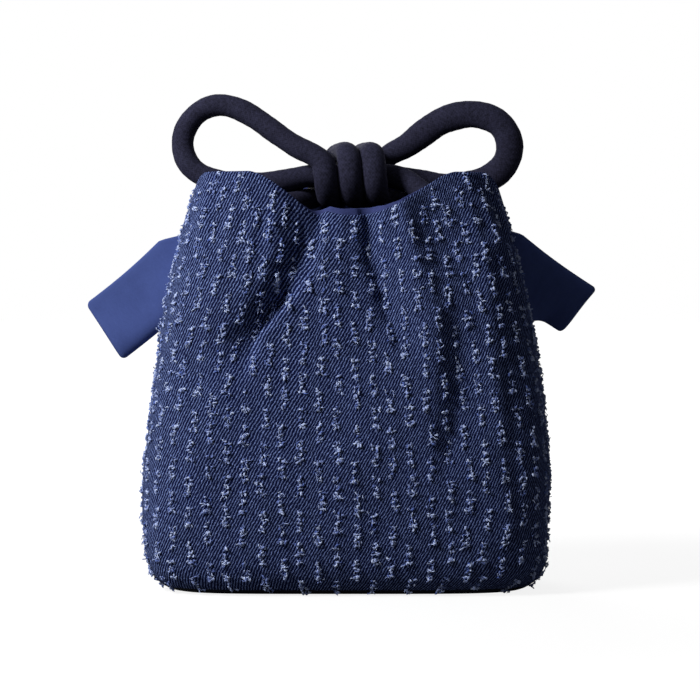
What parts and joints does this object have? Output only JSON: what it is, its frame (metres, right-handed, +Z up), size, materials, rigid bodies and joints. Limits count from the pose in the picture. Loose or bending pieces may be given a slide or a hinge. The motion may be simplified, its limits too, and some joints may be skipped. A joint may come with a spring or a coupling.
{
  "type": "drawstring pouch",
  "caption": "Soft drawstring bag with a flat base, a clipped-yarn denim shell, a cotton lining, one thick endless cord tied in a bow above the mouth and a padded pull tab on each side.",
  "frame": {"origin": "centre of the base, on the surface that the bag stands on", "axes": "+Z up, +X to the viewer's right along the wide side, the front faces -Y"},
  "size_m": [0.2532, 0.106, 0.2508],
  "materials": {
    "clipped_denim": "indigo twill with clipped fraying tufts, matte",
    "lining_cotton": "plain navy cotton, matte",
    "cord_cotton": "dark navy cotton cord, matte",
    "tab_cotton": "plain blue cotton, padded, matte"
  },
  "bodies": {
    "root": {"outer_bag": "clipped_denim", "lining": "lining_cotton", "channel_front": "lining_cotton", "channel_back": "lining_cotton", "cord_front_run": "cord_cotton", "cord_back_run": "cord_cotton", "cord_left_bight": "cord_cotton", "cord_right_bight": "cord_cotton", "tab_left": "tab_cotton", "tab_right": "tab_cotton"}
  },
  "joints": []
}
